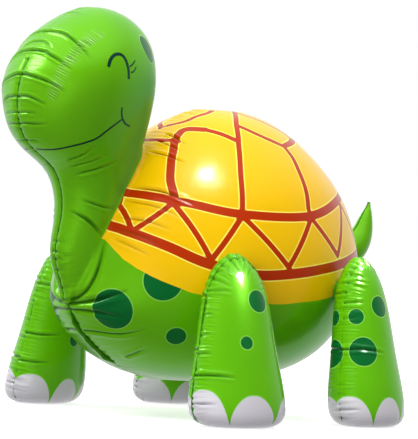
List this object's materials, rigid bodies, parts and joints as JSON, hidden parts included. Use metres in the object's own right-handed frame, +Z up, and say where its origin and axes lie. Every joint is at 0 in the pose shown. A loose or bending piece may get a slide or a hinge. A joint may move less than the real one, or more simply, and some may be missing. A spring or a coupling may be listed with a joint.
{
  "type": "inflatable turtle float",
  "caption": "Inflatable stand-up turtle float of welded printed film, with a raised head, domed shell, stand-up legs that flex on welded pads, and a small tail.",
  "frame": {"origin": "on the floor under the middle of the whole length and width", "axes": "+Z up, the turtle looks along -Y, its left side is +X"},
  "size_m": [0.5358, 0.6721, 0.565],
  "materials": {
    "body_film": "glossy printed film: green skin, yellow and orange-red shell print",
    "leg_film": "glossy printed film, green with dark green spots and white nails",
    "sole_film": "glossy printed film, flat foot gusset",
    "tail_film": "glossy printed film",
    "valve_film": "thin clear self-sealing valve film",
    "tab_film": "unprinted film tab",
    "weld_pad": "soft white double-sided bonding pad"
  },
  "bodies": {
    "body": {"body_filling_tab": "tab_film", "body_left_panel": "body_film", "body_right_panel": "body_film", "body_valve_sleeve": "valve_film", "tail_patch": "weld_pad"},
    "front_left_leg": {"front_left_leg_inner_panel": "leg_film", "front_left_leg_outer_panel": "leg_film", "front_left_leg_pad": "weld_pad", "front_left_leg_sole": "sole_film", "front_left_leg_valve_sleeve": "valve_film"},
    "front_right_leg": {"front_right_leg_inner_panel": "leg_film", "front_right_leg_outer_panel": "leg_film", "front_right_leg_pad": "weld_pad", "front_right_leg_sole": "sole_film", "front_right_leg_valve_sleeve": "valve_film"},
    "rear_left_leg": {"rear_left_leg_inner_panel": "leg_film", "rear_left_leg_outer_panel": "leg_film", "rear_left_leg_pad": "weld_pad", "rear_left_leg_sole": "sole_film", "rear_left_leg_valve_sleeve": "valve_film"},
    "rear_right_leg": {"rear_right_leg_inner_panel": "leg_film", "rear_right_leg_outer_panel": "leg_film", "rear_right_leg_pad": "weld_pad", "rear_right_leg_sole": "sole_film", "rear_right_leg_valve_sleeve": "valve_film"},
    "tail": {"tail_left_panel": "tail_film", "tail_right_panel": "tail_film"}
  },
  "joints": [
    {"name": "front_left_leg_swing", "type": "hinge", "parent": "body", "child": "front_left_leg", "pos_m": [0.19497, -0.09546, 0.186], "axis": [0.9744, -0.225, 0], "range_deg": [-10, 10], "stiffness_Nm_per_rad": 1.5},
    {"name": "front_right_leg_swing", "type": "hinge", "parent": "body", "child": "front_right_leg", "pos_m": [-0.19497, -0.09546, 0.186], "axis": [0.9744, 0.225, 0], "range_deg": [-10, 10], "stiffness_Nm_per_rad": 1.5},
    {"name": "rear_left_leg_swing", "type": "hinge", "parent": "body", "child": "rear_left_leg", "pos_m": [0.19714, 0.13652, 0.186], "axis": [0.9877, 0.1564, 0], "range_deg": [-10, 10], "stiffness_Nm_per_rad": 1.5},
    {"name": "rear_right_leg_swing", "type": "hinge", "parent": "body", "child": "rear_right_leg", "pos_m": [-0.19714, 0.13652, 0.186], "axis": [0.9877, -0.1564, 0], "range_deg": [-10, 10], "stiffness_Nm_per_rad": 1.5},
    {"name": "tail_wag", "type": "hinge", "parent": "body", "child": "tail", "pos_m": [0, 0.2623, 0.232], "axis": [0, 0, 1], "range_deg": [-15, 15], "stiffness_Nm_per_rad": 0.05}
  ]
}
